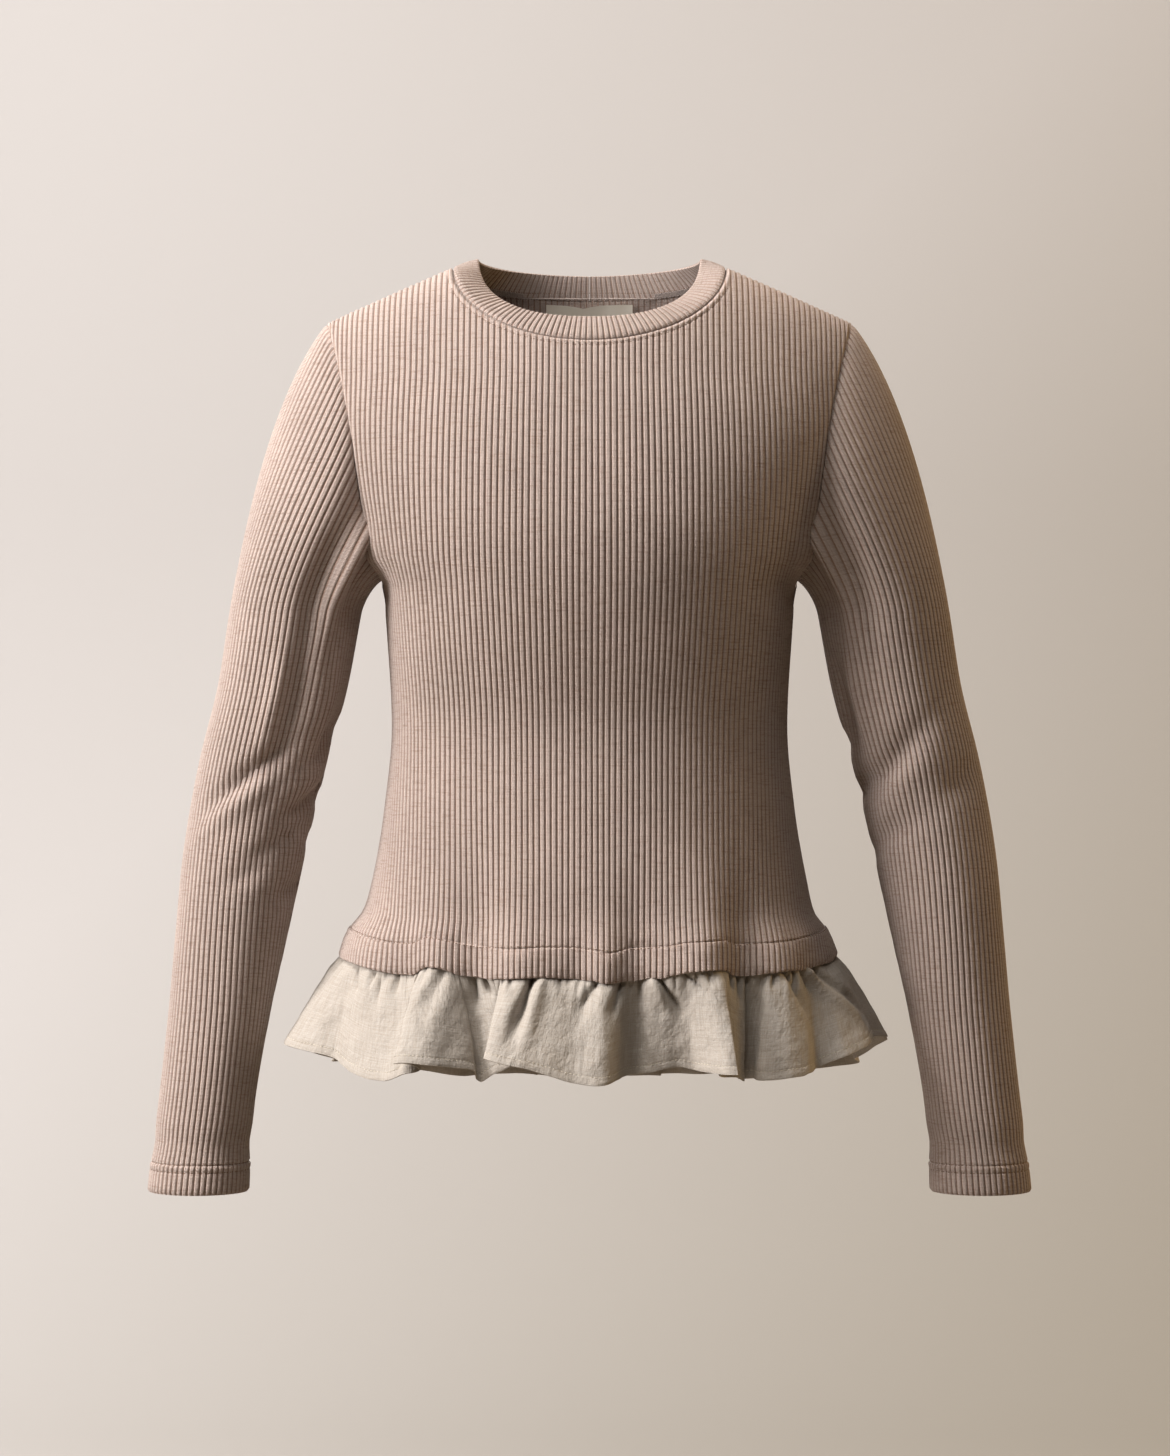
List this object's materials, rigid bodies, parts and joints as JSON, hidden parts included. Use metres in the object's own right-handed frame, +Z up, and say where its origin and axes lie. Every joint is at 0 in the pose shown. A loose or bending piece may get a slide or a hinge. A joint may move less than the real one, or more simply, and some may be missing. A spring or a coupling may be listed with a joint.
{
  "type": "long-sleeved rib-knit top with a gathered hem ruffle",
  "caption": "Long-sleeved crew-neck rib-knit top with a gathered woven hem ruffle, hollow and filled out as when worn.",
  "frame": {"origin": "midway between the inner ends of the two shoulder seams, on the seam plane, where the wearer's shoulders and neck hold the top", "axes": "+Z up along the body, the front faces -Y, +X is the wearer's left (the viewer's right)"},
  "size_m": [0.6046, 0.2971, 0.6412],
  "materials": {
    "rib_knit": "heathered dusty taupe rib knit, matte",
    "linen": "oat-coloured plain-woven linen, matte with fine slubs",
    "label_cotton": "cream woven cotton tape, blank"
  },
  "bodies": {
    "root": {"front": "rib_knit", "back": "rib_knit", "sleeve_right": "rib_knit", "sleeve_left": "rib_knit", "neckband": "rib_knit", "ruffle_front": "linen", "ruffle_back": "linen", "label": "label_cotton"}
  },
  "joints": []
}
